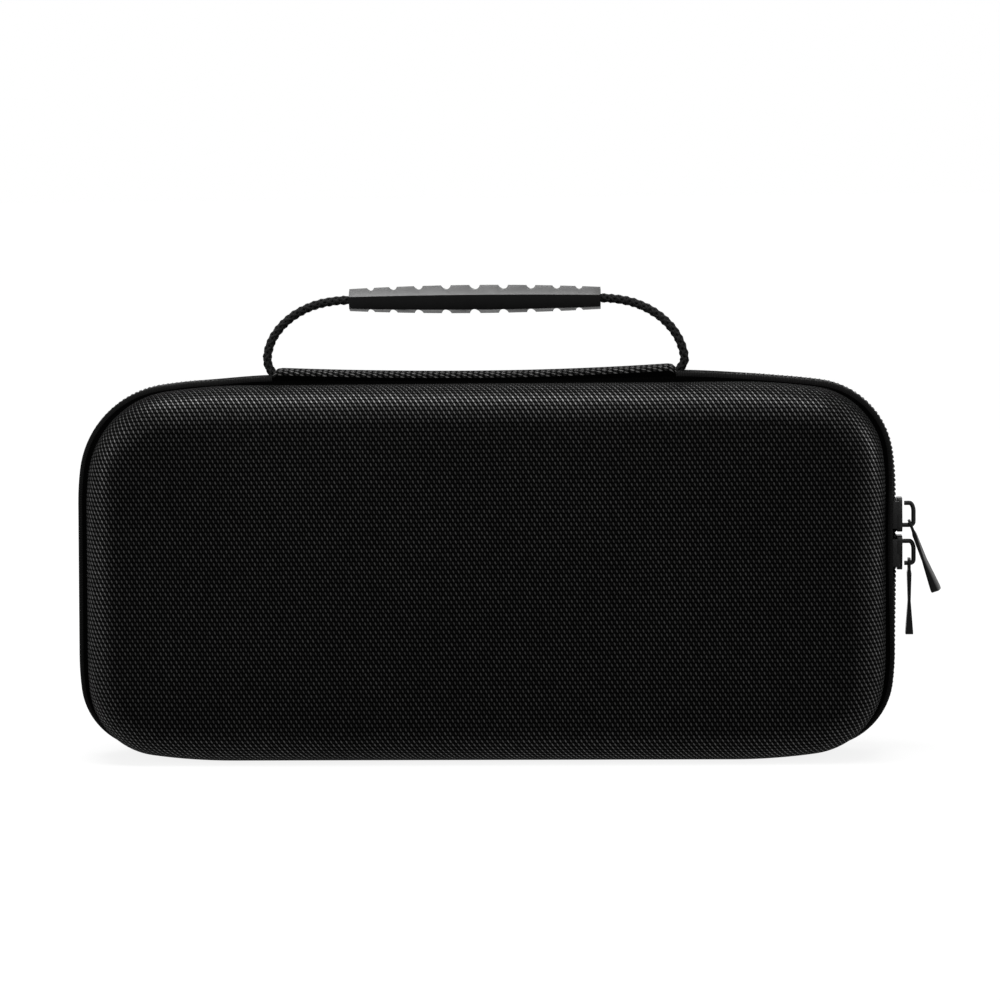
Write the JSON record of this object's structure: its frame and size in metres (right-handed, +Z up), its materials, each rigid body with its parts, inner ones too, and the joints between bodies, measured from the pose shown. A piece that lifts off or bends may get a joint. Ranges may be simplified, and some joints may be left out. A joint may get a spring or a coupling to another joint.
{
  "type": "portable game console case",
  "caption": "Hard-shell zip case for a handheld game console, with rounded corners, a fabric hinge along the top, a cord carry handle with a rubber grip, and zip sliders that meet at one side.",
  "frame": {"origin": "on the floor, midway along the case and on the parting plane between lid and base", "axes": "+X along the case towards the sliders, +Y from the lid to the base, +Z up to the handle"},
  "size_m": [0.2793, 0.05, 0.1526],
  "materials": {
    "shell_fabric": "black ballistic nylon weave moulded over foam",
    "zip_tape": "black ribbed polyester tape",
    "zip_coil": "black nylon coil",
    "binding": "black grosgrain edging",
    "lining": "dark brushed tricot",
    "cord": "black braided cord",
    "grip_rubber": "matt black moulded rubber",
    "slider_metal": "black enamelled zinc",
    "strap_elastic": "black woven elastic",
    "pocket_mesh": "black net"
  },
  "bodies": {
    "base": {"back_shell": "shell_fabric", "base_zip_tape": "zip_tape", "base_zip_coil": "zip_coil", "base_binding": "binding", "left_strap": "strap_elastic", "right_strap": "strap_elastic"},
    "spine": {"hinge_strip": "shell_fabric", "hinge_lining": "lining", "cord_knots": "cord"},
    "lid": {"front_shell": "shell_fabric", "lid_zip_tape": "zip_tape", "lid_zip_coil": "zip_coil", "lid_binding": "binding", "mesh_pocket": "pocket_mesh", "pocket_hem": "strap_elastic"},
    "handle": {"handle_cord": "cord", "handle_grip": "grip_rubber"},
    "upper_slider": {"upper_slider": "slider_metal"},
    "lower_slider": {"lower_slider": "slider_metal"},
    "upper_pull": {"upper_pull": "slider_metal"},
    "lower_pull": {"lower_pull": "slider_metal"}
  },
  "joints": [
    {"name": "spine_fold", "type": "hinge", "parent": "base", "child": "spine", "pos_m": [-0.0029, 0.0065, 0.124], "axis": [-1, 0, 0], "range_deg": [0, 90]},
    {"name": "lid_fold", "type": "hinge", "parent": "spine", "child": "lid", "pos_m": [-0.0029, -0.0065, 0.124], "axis": [-1, 0, 0], "range_deg": [0, 90]},
    {"name": "handle_swing", "type": "hinge", "parent": "spine", "child": "handle", "pos_m": [-0.0029, 0, 0.124], "axis": [-1, 0, 0], "range_deg": [-85, 25]},
    {"name": "upper_slide", "type": "slide", "parent": "base", "child": "upper_slider", "axis": [0, 0, 1], "range_m": [0, 0.006]},
    {"name": "lower_slide", "type": "slide", "parent": "base", "child": "lower_slider", "axis": [0, 0, 1], "range_m": [-0.022, 0]},
    {"name": "upper_pull_swing", "type": "hinge", "parent": "upper_slider", "child": "upper_pull", "pos_m": [0.13675, 0, 0.0755], "axis": [0, -1, 0], "range_deg": [0, 95]},
    {"name": "lower_pull_swing", "type": "hinge", "parent": "lower_slider", "child": "lower_pull", "pos_m": [0.13675, 0, 0.0632], "axis": [0, -1, 0], "range_deg": [-4, 25]}
  ],
  "couplings": [
    {"joint": "spine_fold", "follows": "lid_fold", "ratio": 1}
  ]
}
